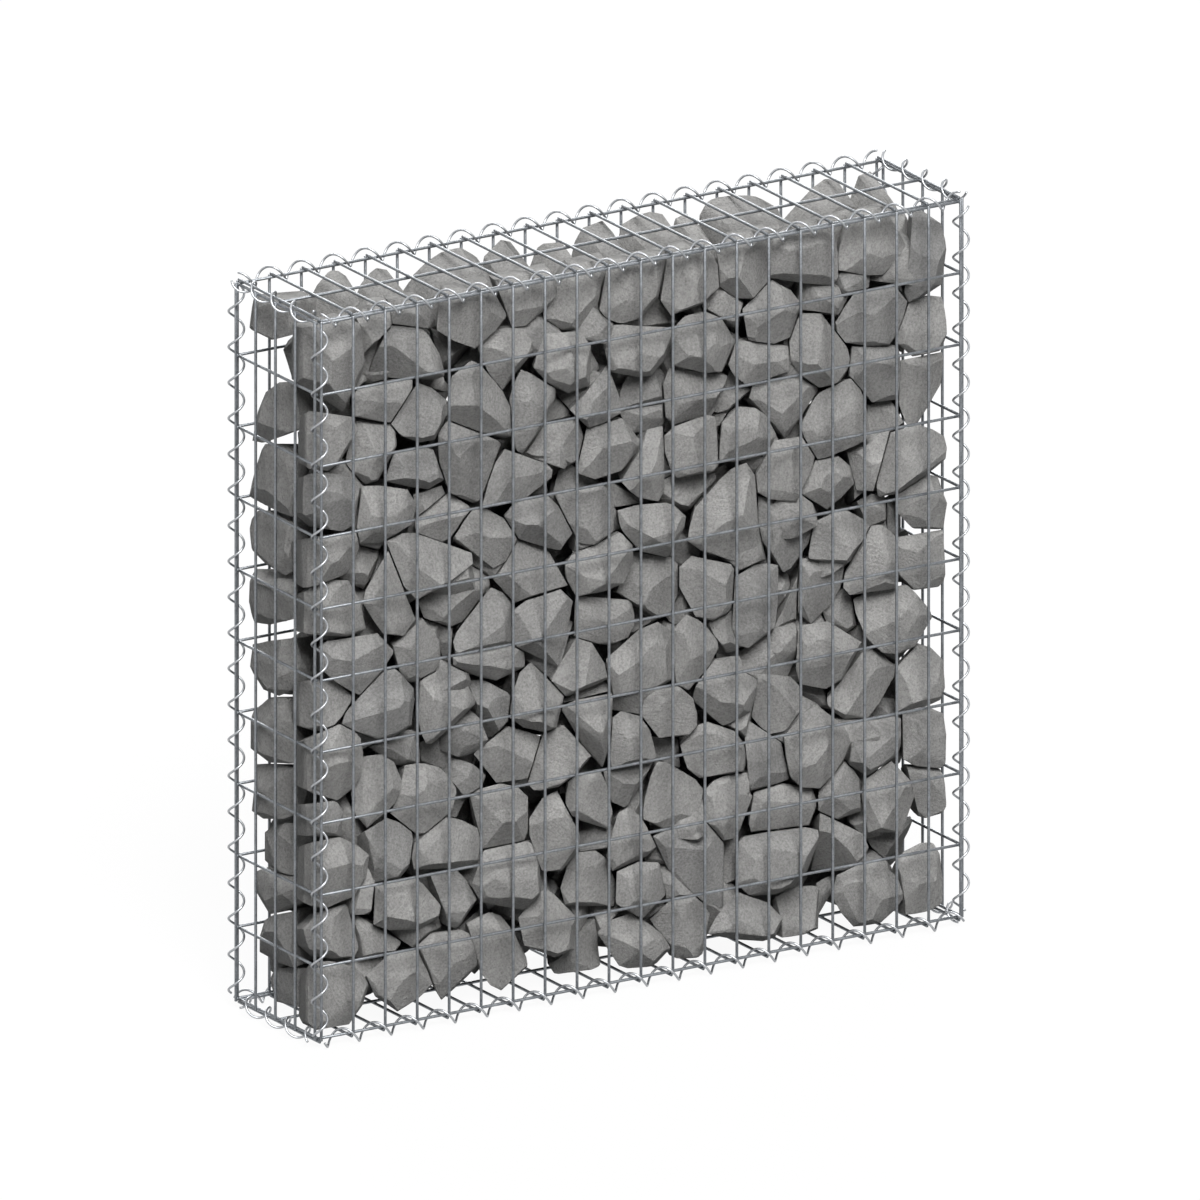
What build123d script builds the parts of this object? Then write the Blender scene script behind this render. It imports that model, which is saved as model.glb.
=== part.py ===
from build123d import *
import math
import os

# Gabion wall: one flat basket of six welded mesh panels, laced together along its twelve edges
# with wire spirals and filled with broken stone. All sizes are in millimetres.
# +X runs along the wall to the right, +Y goes through it to the back and +Z is up.
# The origin is on the ground under the middle of the basket.

# Basket, measured between the centres of the outermost mesh wires of each panel
wall_length = 1000.0
wall_height = 1000.0
wall_depth = 200.0

# Welded mesh: close-set wires on the outside of each panel, wide-set wires on its inside.
# Each wire is an eight-sided bar and its diameter is the distance across the flats.
close_spacing = 50.0
wide_spacing = 100.0
mesh_wire = 4.0
weld_sink = 0.2
panel_gap = 0.4
side_wire_overhang = 1.0
lid_wire_overhang = 3.0
lid_rise = 1.6

# Lacing spirals: round wire, one turn for each gap between the close-set wires
spiral_wire = 3.2
spiral_outer = 24.0
seat_gap = 0.4
stretches_per_turn = 2

# A level spiral hangs on one mesh wire, and this is the angle in degrees above level at which its
# axis lies out from that wire. Over the lid's short edges it is the angle past the least one that
# takes in the lid's wire too. An upright spiral hangs on a wire of an end panel or a side panel.
edge_leans = {"top_long": 20.0, "bottom_long": -4.0, "bottom_short": 44.0}
top_short_spare_lean = 3.543
corner_holders = {"front_left": "end", "front_right": "end", "back_left": "side", "back_right": "end"}

# Share of a turn past a mesh wire at which the level spirals reach their top and the upright ones
# their outward point, and how far short of the basket's corners the wires are cut
edge_phases = {"top_long": -0.018, "bottom_long": 0.728, "top_short": 0.9, "bottom_short": 0.584}
corner_phases = {"front_left": 0.13, "front_right": 0.034, "back_left": 0.33, "back_right": 0.13}
long_end_trim = 0.0
short_end_trim = 5.0
corner_end_trim = 5.0

# Stone fill, laid in level lifts that stand on each other
fill_lifts = 10


def spaced(total, spacing):
    """Places from one end to the other of a length, centred on zero, as near to a spacing as fits."""
    gaps = max(1, round(total / spacing))
    return [total * (i / gaps - 0.5) for i in range(gaps + 1)]


# Distance of a spiral's axis from the mesh wire that it hangs on
spiral_radius = (spiral_outer - spiral_wire) / 2
hang = spiral_radius - spiral_wire / 2 - mesh_wire / 2 - seat_gap

# Heights above the ground, from the long bottom spirals that stand on it
weld_step = mesh_wire - weld_sink
low_axis_z = spiral_outer / 2
base_long_z = low_axis_z - hang * math.sin(math.radians(edge_leans["bottom_long"]))
base_cross_z = base_long_z - weld_step
low_wire_z = base_long_z + lid_rise
high_wire_z = low_wire_z + wall_height
mid_z = (low_wire_z + high_wire_z) / 2
lid_long_z = high_wire_z + lid_rise
lid_cross_z = lid_long_z + weld_step

# Distances of the side panels' wires from the middle planes of the basket
side_wide_y = wall_depth / 2 + panel_gap + mesh_wire / 2
side_close_y = side_wide_y + weld_step
end_wide_x = wall_length / 2 + panel_gap + mesh_wire / 2
end_close_x = end_wide_x + weld_step
lid_edge_y = side_wide_y - mesh_wire - panel_gap

along_x = spaced(wall_length, close_spacing)
along_y = spaced(wall_depth, close_spacing)
up_z = [mid_z + z for z in spaced(wall_height, wide_spacing)]
wire_foot_z = low_wire_z - mesh_wire / 2 - side_wire_overhang
wire_tip_z = high_wire_z + mesh_wire / 2 + side_wire_overhang

# From the end panels' top wire to the lid's outermost cross wire, which one spiral holds together
lid_inset = end_wide_x - wall_length / 2
lid_reach = math.hypot(lid_inset, lid_cross_z - high_wire_z)
lid_bearing = 180 - math.degrees(math.asin((lid_cross_z - high_wire_z) / lid_reach))
least_lean = lid_bearing - math.degrees(math.acos(lid_reach / (2 * hang)))
edge_leans["top_short"] = least_lean + top_short_spare_lean


def bar(start, end):
    """A straight eight-sided bar between two points, with flats facing along the axes."""
    path = Edge.make_line(start, end)
    direction = path % 0
    across = Vector(0, 0, 1) if abs(direction.Z) < 0.5 else Vector(1, 0, 0)
    profile = Plane(origin=start, x_dir=across, z_dir=direction) * Rot(0, 0, 22.5) * RegularPolygon(
        mesh_wire / 2, 8, major_radius=False
    )
    return extrude(profile, amount=path.length, dir=direction)


def panel(bars):
    """One welded mesh panel from the end points of its bars, fused where they cross."""
    solids = [bar(start, end) for start, end in bars]
    return solids[0].fuse(*solids[1:])


def side_panel(facing):
    """Front (-1) or back (+1) panel: upright wires outside, level wires inside."""
    half = wall_length / 2
    outer_y = facing * side_close_y
    inner_y = facing * side_wide_y
    upright = [((x, outer_y, wire_foot_z), (x, outer_y, wire_tip_z)) for x in along_x]
    level = [((-half, inner_y, z), (half, inner_y, z)) for z in up_z]
    return panel(upright + level)


def end_panel(facing):
    """Left (-1) or right (+1) end panel: upright wires outside, level wires inside."""
    half = wall_depth / 2
    outer_x = facing * end_close_x
    inner_x = facing * end_wide_x
    upright = [((outer_x, y, wire_foot_z), (outer_x, y, wire_tip_z)) for y in along_y]
    level = [((inner_x, -half, z), (inner_x, half, z)) for z in up_z]
    return panel(upright + level)


def flat_panel(long_z, cross_z):
    """Lid or base panel: cross wires outside, long wires inside."""
    half_x = wall_length / 2
    half_y = wall_depth / 2 + lid_wire_overhang
    cross = [((x, -half_y, cross_z), (x, half_y, cross_z)) for x in along_x]
    long_wires = [((-half_x, y, long_z), (half_x, y, long_z)) for y in (-lid_edge_y, 0, lid_edge_y)]
    return panel(cross + long_wires)


def spiral(middle, along, crown, phase, pitch, length):
    """Right-handed round-wire spiral around the axis through a middle point, cut to a length.

    At the distance phase from the middle, the wire passes on the crown side of the axis.
    """
    rise = pitch / stretches_per_turn
    last_rise = length % rise
    rises = [rise] * int(length // rise) + ([last_rise] if last_rise > mesh_wire / 100 else [])
    stretches = [
        Pos(0, 0, i * rise) * Rot(0, 0, 360 * i / stretches_per_turn) * Helix(pitch, height, spiral_radius)
        for i, height in enumerate(rises)
    ]
    path = Wire(stretches)
    profile = Plane(origin=path @ 0, z_dir=path % 0) * Circle(spiral_wire / 2)
    wire = sweep(profile, path=path, is_frenet=True)
    first = -length / 2
    turn = 360 * (first - phase) / pitch
    return Plane(origin=middle, x_dir=crown, z_dir=along).location * Pos(0, 0, first) * Rot(0, 0, turn) * wire


def edge_axes():
    """Distance out from the basket's middle and height above the ground of each level spiral's axis."""
    holders = {
        "top_long": (lid_edge_y, lid_long_z),
        "bottom_long": (lid_edge_y, base_long_z),
        "top_short": (end_wide_x, high_wire_z),
        "bottom_short": (wall_length / 2, base_cross_z),
    }
    axes = {}
    for edge, (out, z) in holders.items():
        lean = math.radians(edge_leans[edge])
        axes[edge] = (out + hang * math.cos(lean), z + hang * math.sin(lean))
    return axes


def edge_spirals():
    """The four spirals along the lid's edges and the four along the base's edges."""
    made = {}
    axes = edge_axes()
    long_pitch = along_x[1] - along_x[0]
    short_pitch = along_y[1] - along_y[0]
    long_length = wall_length - 2 * long_end_trim
    short_length = wall_depth - 2 * short_end_trim
    for level in ("top", "bottom"):
        out, z = axes[f"{level}_long"]
        phase = along_x[0] + edge_phases[f"{level}_long"] * long_pitch
        for side, facing in (("front", -1), ("back", 1)):
            made[f"spiral_{level}_{side}"] = spiral(
                (0, facing * out, z), (-facing, 0, 0), (0, 0, 1), phase, long_pitch, long_length
            )
        out, z = axes[f"{level}_short"]
        phase = along_y[0] + edge_phases[f"{level}_short"] * short_pitch
        for end, facing in (("left", -1), ("right", 1)):
            made[f"spiral_{level}_{end}"] = spiral(
                (facing * out, 0, z), (0, facing, 0), (0, 0, 1), phase, short_pitch, short_length
            )
    return made


def corner_axis(holder):
    """Distances of an upright spiral's axis from the basket's middle planes.

    The spiral goes round the outermost upright wires of two panels and hangs on the holder's.
    """
    apart_x = end_close_x - wall_length / 2
    apart_y = side_close_y - wall_depth / 2
    pair = math.hypot(apart_x, apart_y)
    slack = hang - pair / 2
    toward_side = slack if holder == "end" else -slack
    x = wall_length / 2 + apart_x / 2 - toward_side * apart_x / pair
    y = wall_depth / 2 + apart_y / 2 + toward_side * apart_y / pair
    return x, y


def corner_spirals():
    """The four upright spirals at the corners of the basket."""
    made = {}
    pitch = (up_z[1] - up_z[0]) / round(wide_spacing / close_spacing)
    length = wall_height - 2 * corner_end_trim
    for side, face_y in (("front", -1), ("back", 1)):
        for end, face_x in (("left", -1), ("right", 1)):
            corner = f"{side}_{end}"
            x, y = corner_axis(corner_holders[corner])
            middle = (face_x * x, face_y * y, mid_z)
            phase = up_z[0] - mid_z + corner_phases[corner] * pitch
            made[f"spiral_corner_{corner}"] = spiral(
                middle, (0, 0, 1), (face_x, 0, 0), phase, pitch, length
            )
    return made


def stone_fill():
    """The stone fill as level lifts, with its edges cut back to clear the spirals."""
    bottom = base_long_z + mesh_wire / 2 + seat_gap
    top = lid_long_z - mesh_wire / 2 - seat_gap
    half_x = wall_length / 2 + panel_gap - seat_gap
    half_y = wall_depth / 2 + panel_gap - seat_gap
    axes = edge_axes()
    corners = [corner_axis(holder) for holder in corner_holders.values()]
    axis_offsets = [x - half_x + y - half_y for x, y in corners]
    for length, half in (("long", half_y), ("short", half_x)):
        high_out, high_z = axes[f"top_{length}"]
        low_out, low_z = axes[f"bottom_{length}"]
        axis_offsets += [high_out - half + high_z - top, low_out - half + bottom - low_z]
    reach = spiral_outer / 2 + seat_gap
    edge_cut = reach * math.sqrt(2) - min(axis_offsets)
    block = Pos(0, 0, (bottom + top) / 2) * Box(2 * half_x, 2 * half_y, top - bottom)
    block = chamfer(block.edges(), edge_cut)
    lift = (top - bottom) / fill_lifts
    made = {}
    for i in range(fill_lifts):
        slab = Pos(0, 0, bottom + (i + 0.5) * lift) * Box(4 * half_x, 4 * half_y, lift)
        made[f"stone_fill_{i + 1:02d}"] = block & slab
    return made


nodes = {
    "front_panel": side_panel(-1),
    "back_panel": side_panel(1),
    "left_end_panel": end_panel(-1),
    "right_end_panel": end_panel(1),
    "lid_panel": flat_panel(lid_long_z, lid_cross_z),
    "base_panel": flat_panel(base_long_z, base_cross_z),
    **edge_spirals(),
    **corner_spirals(),
    **stone_fill(),
}

os.makedirs("parts", exist_ok=True)
for name, shape in nodes.items():
    export_step(shape, f"parts/{name}.step")
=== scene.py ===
import math
import random

import bmesh
import bpy
import numpy as np
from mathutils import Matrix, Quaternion, Vector, noise


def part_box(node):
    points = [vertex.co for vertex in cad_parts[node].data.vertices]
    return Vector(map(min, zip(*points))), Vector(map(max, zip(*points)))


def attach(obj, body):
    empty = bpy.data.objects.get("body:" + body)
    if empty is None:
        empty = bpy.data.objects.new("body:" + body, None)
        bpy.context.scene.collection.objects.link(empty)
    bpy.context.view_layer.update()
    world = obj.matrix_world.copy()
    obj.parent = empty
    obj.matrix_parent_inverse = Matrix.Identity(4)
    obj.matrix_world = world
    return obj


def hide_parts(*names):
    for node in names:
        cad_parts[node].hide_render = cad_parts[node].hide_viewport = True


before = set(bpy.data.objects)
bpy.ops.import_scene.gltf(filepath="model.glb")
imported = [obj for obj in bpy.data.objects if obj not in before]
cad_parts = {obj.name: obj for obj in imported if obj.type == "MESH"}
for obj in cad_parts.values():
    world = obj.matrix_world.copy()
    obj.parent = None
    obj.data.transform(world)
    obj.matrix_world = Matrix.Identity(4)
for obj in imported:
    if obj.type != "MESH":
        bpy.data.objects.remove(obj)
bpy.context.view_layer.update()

# Lengths are in millimetres, measured from the middle of the basket's mesh, until a mesh is made.
# x runs along the wall, y through it from front to back and z up.
MM = 0.001
low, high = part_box("front_panel")
MID_Z = (low.z + high.z) / 2 / MM

# Basket, between the centres of its outermost wires, with the sizes that the CAD has
LENGTH = 1000.0
HEIGHT = 1000.0
DEPTH = 200.0
MESH_WIRE = 4.0
WELD_STEP = 3.8
PANEL_GAP = 0.4
LID_RISE = 1.6
SIDE_OVERHANG = 1.0
LID_OVERHANG = 3.0
SPIRAL_WIRE = 3.2
SPIRAL_RADIUS = 10.4
PITCH = 50.0
HANG = 6.4
END_TRIM = 5.0

SIDE_WIDE = DEPTH / 2 + PANEL_GAP + MESH_WIRE / 2
SIDE_CLOSE = SIDE_WIDE + WELD_STEP
END_WIDE = LENGTH / 2 + PANEL_GAP + MESH_WIRE / 2
END_CLOSE = END_WIDE + WELD_STEP
LID_EDGE = SIDE_WIDE - MESH_WIRE - PANEL_GAP
LID_LONG = HEIGHT / 2 + LID_RISE
LID_CROSS = LID_LONG + WELD_STEP
WIRE_TIP = HEIGHT / 2 + MESH_WIRE / 2 + SIDE_OVERHANG


def spaced(total, gaps):
    return [total * (i / gaps - 0.5) for i in range(gaps + 1)]


ALONG = spaced(LENGTH, 20)
ACROSS = spaced(DEPTH, 4)
UP = spaced(HEIGHT, 10)

# How finely the wires are made, and how far their cut ends are rounded off
WIRE_SIDES = 14
LONG_RINGS = 8
SHORT_RINGS = 4
WIRE_BURR = 0.35
SPIRAL_SIDES = 12
SPIRAL_STEPS = 26
SPIRAL_BURR = 0.3
SPIRAL_BURR_LENGTH = 0.6

# Half sizes of a weld between two wires: along the panel, at its outermost close-set wires, where
# the welds also sit further in, and through it
WELD_WIDE = 2.5
WELD_EDGE = 1.8
WELD_THIN = 1.1
WELD_INSET = 1

# Largest angle in degrees between two faces that are still shaded as one smooth surface
MESH_SMOOTH = 50
SPIRAL_SMOOTH = 60
STONE_SMOOTH = 12


# Meshes
def to_metres(points):
    out = np.asarray(points, float).reshape(-1, 3) * MM
    out[:, 2] += MID_Z * MM
    return out


def make_object(name, verts, faces, material, smooth_angle):
    mesh = bpy.data.meshes.new(name)
    mesh.from_pydata(to_metres(verts).tolist(), [], faces)
    mesh.validate()
    mesh.shade_smooth()
    mesh.set_sharp_from_angle(angle=math.radians(smooth_angle))
    mesh.materials.append(material)
    obj = bpy.data.objects.new(name, mesh)
    bpy.context.scene.collection.objects.link(obj)
    return obj


def place(obj, slot, *nodes):
    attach(obj, "root")
    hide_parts(*nodes)


class Pile:
    """Vertices and faces of one object, gathered part by part."""

    def __init__(self):
        self.verts = []
        self.faces = []

    def add(self, verts, faces):
        base = len(self.verts)
        self.verts.extend(verts)
        self.faces.extend([tuple(base + i for i in face) for face in faces])


def tube(centres, across, up, radii, sides):
    """Closed round tube through centres, with its frame's two directions and its radius at each."""
    verts = []
    for c, a, b, r in zip(centres, across, up, radii):
        for k in range(sides):
            t = 2 * math.pi * k / sides
            verts.append(tuple(c + r * (math.cos(t) * a + math.sin(t) * b)))
    faces = []
    rings = len(centres)
    for i in range(rings - 1):
        for k in range(sides):
            n = (k + 1) % sides
            faces.append((i * sides + k, i * sides + n, (i + 1) * sides + n, (i + 1) * sides + k))
    faces.append(tuple(reversed(range(sides))))
    faces.append(tuple((rings - 1) * sides + k for k in range(sides)))
    return verts, faces


def straight_wire(start, end, rings):
    """Mesh wire along one of the axes."""
    a, b = np.array(start, float), np.array(end, float)
    run = b - a
    total = np.linalg.norm(run)
    run /= total
    side = np.cross(run, (1, 0, 0) if run[2] else (0, 0, 1))
    side /= np.linalg.norm(side)
    other = np.cross(run, side)
    r = MESH_WIRE / 2
    between = [WIRE_BURR + (total - 2 * WIRE_BURR) * i / rings for i in range(1, rings)]
    at = [0.0, WIRE_BURR] + between + [total - WIRE_BURR, total]
    radii = [r - WIRE_BURR] + [r] * (len(at) - 2) + [r - WIRE_BURR]
    centres = [a + run * s for s in at]
    return tube(centres, [side] * len(at), [other] * len(at), radii, WIRE_SIDES)


def spiral_wire(middle, along, crown, phase, length):
    """Right-handed spiral, on the crown side of its axis at the distance phase from the middle."""
    axis = np.array(along, float)
    x = np.array(crown, float)
    y = np.cross(axis, x)
    count = int(round(length / PITCH * SPIRAL_STEPS))
    r = SPIRAL_WIRE / 2
    rounding = SPIRAL_BURR * SPIRAL_BURR_LENGTH
    centres, across, up, radii = [], [], [], []
    at = [i / count * length - length / 2 for i in range(count + 1)]
    at = [at[0], at[0] + rounding] + at[1:-1] + [at[-1] - rounding, at[-1]]
    for i, t in enumerate(at):
        turn = 2 * math.pi * (t - phase) / PITCH
        out = math.cos(turn) * x + math.sin(turn) * y
        tangent = axis + 2 * math.pi * SPIRAL_RADIUS / PITCH * (-math.sin(turn) * x + math.cos(turn) * y)
        tangent /= np.linalg.norm(tangent)
        centres.append(np.array(middle, float) + t * axis + SPIRAL_RADIUS * out)
        across.append(out)
        up.append(np.cross(tangent, out))
        radii.append(r - SPIRAL_BURR if i in (0, len(at) - 1) else r)
    return tube(centres, across, up, radii, SPIRAL_SIDES)


def weld(centre, size):
    """Small flattened lump of fused metal between two crossing wires."""
    bm = bmesh.new()
    bmesh.ops.create_icosphere(bm, subdivisions=1, radius=1.0)
    verts = [tuple(np.array(centre) + np.array(v.co) * size) for v in bm.verts]
    faces = [tuple(v.index for v in f.verts) for f in bm.faces]
    bm.free()
    return verts, faces


# Materials
class Nodes:
    """The node tree of one material or world, built from nothing."""

    def __init__(self, owner):
        self.owner = owner
        self.owner.use_nodes = True
        self.tree = owner.node_tree
        self.tree.nodes.clear()

    def add(self, kind, inputs=None, **settings):
        node = self.tree.nodes.new(kind)
        for key, value in settings.items():
            setattr(node, key, value)
        for key, value in (inputs or {}).items():
            if isinstance(value, bpy.types.NodeSocket):
                self.tree.links.new(value, node.inputs[key])
            else:
                node.inputs[key].default_value = value
        return node

    def ramp(self, fac, stops):
        node = self.add("ShaderNodeValToRGB", {"Fac": fac})
        elements = node.color_ramp.elements
        while len(elements) < len(stops):
            elements.new(0.5)
        for element, (position, color) in zip(elements, stops):
            element.position = position
            element.color = (*color, 1)
        return node.outputs["Color"]

    def finish(self, shader, output="ShaderNodeOutputMaterial"):
        self.add(output, {"Surface": shader})
        return self.owner


def grey(v):
    return (v, v, v)


def galvanised(name, dark, light, roughness, metallic):
    n = Nodes(bpy.data.materials.new(name))
    coords = n.add("ShaderNodeTexCoord").outputs["Object"]
    spangle = n.add("ShaderNodeTexVoronoi", {"Vector": coords, "Scale": 420.0}, feature="F1")
    cloud = n.add("ShaderNodeTexNoise", {"Vector": coords, "Scale": 55.0, "Detail": 4.0, "Roughness": 0.6})
    grain = n.add("ShaderNodeTexNoise", {"Vector": coords, "Scale": 1600.0, "Detail": 3.0, "Roughness": 0.6})
    tone = n.add(
        "ShaderNodeMixRGB",
        {"Fac": 0.35, "Color1": cloud.outputs["Fac"], "Color2": spangle.outputs["Color"]},
    )
    color = n.ramp(tone.outputs["Color"], [(0.25, dark), (0.75, light)])
    rough = n.ramp(cloud.outputs["Fac"], [(0.3, grey(roughness - 0.07)), (0.7, grey(roughness + 0.09))])
    bump = n.add("ShaderNodeBump", {"Height": grain.outputs["Fac"], "Strength": 0.12, "Distance": 0.0004})
    shader = n.add(
        "ShaderNodeBsdfPrincipled",
        {"Base Color": color, "Metallic": metallic, "Roughness": rough, "Normal": bump.outputs["Normal"]},
    )
    return n.finish(shader.outputs["BSDF"])


def rock(name):
    """Split grey stone with fine layers, in each stone's own place, turn and tint."""
    n = Nodes(bpy.data.materials.new(name))
    coords = n.add("ShaderNodeAttribute", attribute_name="rock").outputs["Vector"]
    tint = n.add("ShaderNodeAttribute", attribute_name="tint").outputs["Fac"]
    layers = n.add("ShaderNodeMapping", {"Vector": coords, "Scale": (1.0, 1.0, 5.5)}).outputs["Vector"]
    cloud = n.add("ShaderNodeTexNoise", {"Vector": coords, "Scale": 14.0, "Detail": 3.0, "Roughness": 0.5})
    strata = n.add(
        "ShaderNodeTexNoise",
        {"Vector": layers, "Scale": 75.0, "Detail": 6.0, "Roughness": 0.6, "Distortion": 0.25},
    )
    grain = n.add("ShaderNodeTexNoise", {"Vector": coords, "Scale": 480.0, "Detail": 5.0, "Roughness": 0.75})
    specks = n.add("ShaderNodeTexNoise", {"Vector": coords, "Scale": 300.0, "Detail": 4.0, "Roughness": 0.8})
    color = n.ramp(cloud.outputs["Fac"], [(0.30, (0.290, 0.289, 0.286)), (0.70, (0.354, 0.352, 0.348))])
    lines = n.ramp(strata.outputs["Fac"], [(0.35, grey(0.90)), (0.62, grey(1.05))])
    dust = n.ramp(specks.outputs["Fac"], [(0.36, grey(0.72)), (0.5, grey(1.0)), (0.64, grey(1.2))])
    own = n.ramp(tint, [(0.0, (0.86, 0.86, 0.86)), (0.5, (1.0, 0.995, 0.985)), (1.0, (1.10, 1.095, 1.085))])
    for other in (lines, dust, own):
        color = n.add(
            "ShaderNodeMixRGB", {"Fac": 1.0, "Color1": color, "Color2": other}, blend_type="MULTIPLY"
        ).outputs["Color"]
    rough = n.ramp(grain.outputs["Fac"], [(0.3, grey(0.78)), (0.7, grey(0.94))])
    coarse = n.add("ShaderNodeBump", {"Height": strata.outputs["Fac"], "Strength": 0.5, "Distance": 0.0035})
    fine = n.add(
        "ShaderNodeBump",
        {
            "Height": grain.outputs["Fac"],
            "Strength": 1.0,
            "Distance": 0.0022,
            "Normal": coarse.outputs["Normal"],
        },
    )
    shader = n.add(
        "ShaderNodeBsdfPrincipled",
        {
            "Base Color": color,
            "Roughness": rough,
            "Normal": fine.outputs["Normal"],
            "Specular IOR Level": 0.12,
        },
    )
    return n.finish(shader.outputs["BSDF"])


MESH_STEEL = galvanised("mesh_steel", (0.13, 0.14, 0.152), (0.27, 0.285, 0.302), 0.42, 0.75)
SPIRAL_STEEL = galvanised("spiral_steel", (0.27, 0.28, 0.295), (0.46, 0.473, 0.49), 0.36, 0.9)
ROCK = rock("broken_rock")


# Basket
X, Y, Z = range(3)


def panel(name, node, facing, axes, depths, places, rows, reaches, rings):
    """Welded mesh in place of a node, with close-set wires outside and wide-set ones inside."""
    pile = Pile()

    def at(*values):
        return tuple(values[axes.index(axis)] for axis in (X, Y, Z))

    close, wide = (facing * depth for depth in depths)
    for p in places:
        pile.add(*straight_wire(at(p, -reaches[0], close), at(p, reaches[0], close), rings[0]))
    for q in rows:
        pile.add(*straight_wire(at(-reaches[1], q, wide), at(reaches[1], q, wide), rings[1]))
    middle = facing * sum(depths) / 2
    edges = (places[0] + WELD_INSET, places[-1] - WELD_INSET)
    for group, half in ((places[1:-1], WELD_WIDE), (edges, WELD_EDGE)):
        for p in group:
            for q in rows:
                pile.add(*weld(at(p, q, middle), at(half, WELD_WIDE, WELD_THIN)))
    obj = make_object(name, pile.verts, pile.faces, MESH_STEEL, MESH_SMOOTH)
    place(obj, "mesh_wire", node)


# What each pair of panels has: the axes across its close-set wires, along them and through the panel,
# then, for its close-set and its wide-set wires, their depths, places, half lengths and rings
FLAT_ROWS = (-LID_EDGE, 0, LID_EDGE)
SIDES = ((X, Z, Y), (SIDE_CLOSE, SIDE_WIDE), ALONG, UP, (WIRE_TIP, LENGTH / 2), (LONG_RINGS, LONG_RINGS))
ENDS = ((Y, Z, X), (END_CLOSE, END_WIDE), ACROSS, UP, (WIRE_TIP, DEPTH / 2), (LONG_RINGS, SHORT_RINGS))
FLATS = (
    (X, Y, Z),
    (LID_CROSS, LID_LONG),
    ALONG,
    FLAT_ROWS,
    (DEPTH / 2 + LID_OVERHANG, LENGTH / 2),
    (SHORT_RINGS, LONG_RINGS),
)
for name, node, facing, sizes in (
    ("front_mesh", "front_panel", -1, SIDES),
    ("back_mesh", "back_panel", 1, SIDES),
    ("left_end_mesh", "left_end_panel", -1, ENDS),
    ("right_end_mesh", "right_end_panel", 1, ENDS),
    ("lid_mesh", "lid_panel", 1, FLATS),
    ("base_mesh", "base_panel", -1, FLATS),
):
    panel(name, node, facing, *sizes)


def hung(out, z, lean):
    """Axis of a level spiral that hangs on a wire and leans out from it by degrees above level."""
    t = math.radians(lean)
    return out + HANG * math.cos(t), z + HANG * math.sin(t)


# Axis of each pair of level spirals, and how far from the middle of the edge a turn reaches its top
EDGES = {
    "top_long": (hung(LID_EDGE, LID_LONG, 20.0), -0.9),
    "bottom_long": (hung(LID_EDGE, -LID_LONG, -4.0), 36.4),
    "top_short": (hung(END_WIDE, HEIGHT / 2, 55.0), 45.0),
    "bottom_short": (hung(LENGTH / 2, -LID_CROSS, 44.0), 29.2),
}

# Side of each upright spiral in x and in y, the panel whose wire it hangs on, and how far from the
# middle of the corner a turn points outward
CORNERS = {
    "front_left": (-1, -1, "end", 6.5),
    "front_right": (1, -1, "end", 1.7),
    "back_left": (-1, 1, "side", 16.5),
    "back_right": (1, 1, "end", 6.5),
}


def lacing(name, middle, along, crown, phase, length):
    verts, faces = spiral_wire(middle, along, crown, phase, length)
    place(make_object(name, verts, faces, SPIRAL_STEEL, SPIRAL_SMOOTH), "spiral_wire", "spiral_" + name)


for level in ("top", "bottom"):
    (out, z), phase = EDGES[level + "_long"]
    for side, facing in (("front", -1), ("back", 1)):
        lacing(f"{level}_{side}", (0, facing * out, z), (-facing, 0, 0), (0, 0, 1), phase, LENGTH)
    (out, z), phase = EDGES[level + "_short"]
    length = DEPTH - 2 * END_TRIM
    for end, facing in (("left", -1), ("right", 1)):
        lacing(f"{level}_{end}", (facing * out, 0, z), (0, facing, 0), (0, 0, 1), phase, length)
for corner, (fx, fy, holder, phase) in CORNERS.items():
    apart = (END_CLOSE - LENGTH / 2, SIDE_CLOSE - DEPTH / 2)
    pair = math.hypot(*apart)
    shift = (HANG - pair / 2) * (1 if holder == "end" else -1)
    px = LENGTH / 2 + apart[0] / 2 - shift * apart[0] / pair
    py = DEPTH / 2 + apart[1] / 2 + shift * apart[1] / pair
    length = HEIGHT - 2 * END_TRIM
    lacing(f"corner_{corner}", (fx * px, fy * py, 0), (0, 0, 1), (fx, 0, 0), phase, length)


# Stones

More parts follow.
